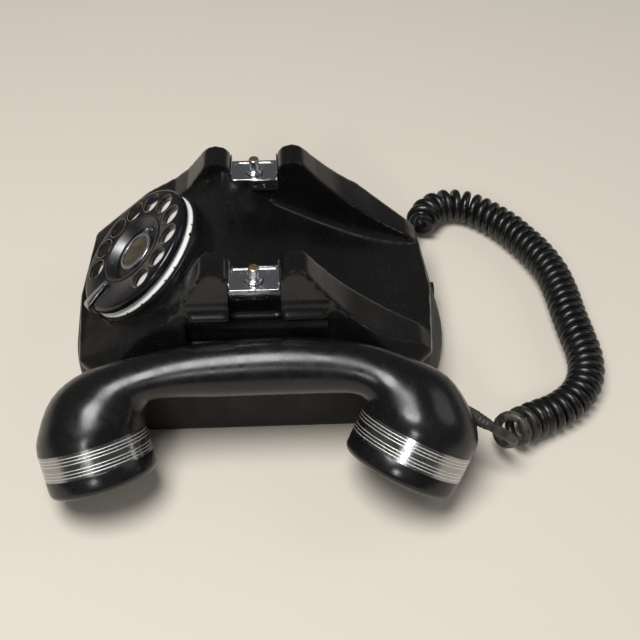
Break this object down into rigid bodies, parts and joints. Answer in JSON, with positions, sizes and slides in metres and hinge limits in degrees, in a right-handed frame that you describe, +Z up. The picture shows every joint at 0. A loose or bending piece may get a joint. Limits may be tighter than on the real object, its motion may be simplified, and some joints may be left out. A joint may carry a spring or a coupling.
{
  "type": "rotary dial telephone",
  "caption": "Black moulded desk telephone: rotary dial on a sloping face, four-eared cradle with sprung plungers, handset lying beside it on a coiled cord",
  "frame": {"origin": "middle of the base pad's underside, where the telephone rests on the table", "axes": "+Z up; +Y to the rear, the dial faces -Y and upwards; +X to the user's right, the side where the handset lies"},
  "size_m": [0.2613, 0.3271, 0.112],
  "materials": {
    "black_housing": "moulded black phenolic, polished, with fine scratches and dust",
    "black_handset": "moulded black phenolic, satin from handling",
    "chrome": "chromium plate, lightly worn",
    "worn_nickel": "worn plate over brass",
    "plain_steel": "plated steel, dull",
    "spring_steel": "blued spring steel",
    "gear_brass": "brass, lightly tarnished",
    "black_steel": "black lacquered steel",
    "wheel_black": "black enamel, gloss, worn at the holes",
    "white_enamel": "white vitreous enamel with black numbers",
    "card": "aged brown card",
    "clear_window": "clear disc, scratched",
    "felt": "dark felt",
    "black_rubber": "black rubber, dull",
    "winding": "wound coils in brown tape",
    "can": "plain metal can",
    "board": "dark laminate",
    "capsule_metal": "spun capsules"
  },
  "bodies": {
    "base": {"housing": "black_housing", "base_plate": "black_steel", "base_pad": "felt", "housing_screws": "plain_steel", "cord_gland": "black_rubber", "line_inlet": "black_rubber", "guard_left": "chrome", "guard_right": "chrome", "collar_left": "chrome", "collar_right": "chrome", "hook_frame": "plain_steel", "hook_axle": "plain_steel", "contact_pile": "gear_brass", "dial_case": "black_steel", "dial_screws": "plain_steel", "number_plate": "white_enamel", "finger_stop": "chrome", "dial_frame": "plain_steel", "dial_spring": "spring_steel", "pulse_springs": "gear_brass", "ringer_frame": "plain_steel", "ringer_coils": "winding", "gong_left": "gear_brass", "gong_right": "gear_brass", "gong_screws": "plain_steel", "capacitor": "can", "induction_coil": "winding", "terminal_block": "board", "terminal_screws": "gear_brass", "cord_lead_phone": "black_rubber", "cord_coil": "black_rubber"},
    "left_plunger": {"plunger_left": "worn_nickel"},
    "right_plunger": {"plunger_right": "worn_nickel"},
    "yoke": {"hook_yoke": "plain_steel"},
    "dial": {"finger_wheel": "wheel_black", "center_ring": "chrome", "number_card": "card", "card_window": "clear_window", "card_clip": "worn_nickel", "dial_shaft": "plain_steel", "main_gear": "gear_brass", "pulse_cam": "gear_brass"},
    "layshaft": {"pinion": "gear_brass"},
    "flyweights": {"governor": "gear_brass"},
    "hammer": {"clapper": "plain_steel"},
    "handset": {"handset_body": "black_handset", "receiver_cap": "black_handset", "transmitter_cap": "black_handset", "receiver_band": "chrome", "transmitter_band": "chrome", "receiver_capsule": "capsule_metal", "transmitter_capsule": "capsule_metal", "strain_relief": "black_rubber", "cord_lead_handset": "black_rubber"}
  },
  "joints": [
    {"name": "hook_rock", "type": "hinge", "parent": "base", "child": "yoke", "pos_m": [0, 0.03, 0.058], "axis": [1, 0, 0], "range_deg": [0, 11.4], "stiffness_Nm_per_rad": 0.15, "springref_deg": -14.32},
    {"name": "left_press", "type": "slide", "parent": "base", "child": "left_plunger", "axis": [0, 0, -1], "range_m": [0, 0.006]},
    {"name": "right_press", "type": "slide", "parent": "base", "child": "right_plunger", "axis": [0, 0, -1], "range_m": [0, 0.006]},
    {"name": "dial_turn", "type": "hinge", "parent": "base", "child": "dial", "pos_m": [0, -0.0632, 0.07246], "axis": [0, 0.6508, -0.7593], "range_deg": [0, 319], "stiffness_Nm_per_rad": 0.01, "springref_deg": -114.59},
    {"name": "layshaft_turn", "type": "hinge", "parent": "base", "child": "layshaft", "pos_m": [0, -0.04579, 0.08738], "axis": [0, -0.6508, 0.7593], "range_deg": [0, 1277]},
    {"name": "governor_turn", "type": "hinge", "parent": "base", "child": "flyweights", "pos_m": [0.01149, -0.04261, 0.09011], "axis": [0, 0.6508, -0.7593], "range_deg": [0, 3829]},
    {"name": "hammer_swing", "type": "hinge", "parent": "base", "child": "hammer", "pos_m": [0, 0.046, 0.024], "axis": [0, 0, 1], "range_deg": [-5, 5], "stiffness_Nm_per_rad": 0.004},
    {"name": "handset_lift", "type": "slide", "parent": "base", "child": "handset", "axis": [0, 0, 1], "range_m": [0, 0.15]}
  ],
  "couplings": [
    {"joint": "left_press", "follows": "hook_rock", "m_per_rad": 0.03},
    {"joint": "right_press", "follows": "hook_rock", "m_per_rad": 0.03},
    {"joint": "layshaft_turn", "follows": "dial_turn", "ratio": 4},
    {"joint": "governor_turn", "follows": "dial_turn", "ratio": 12}
  ]
}
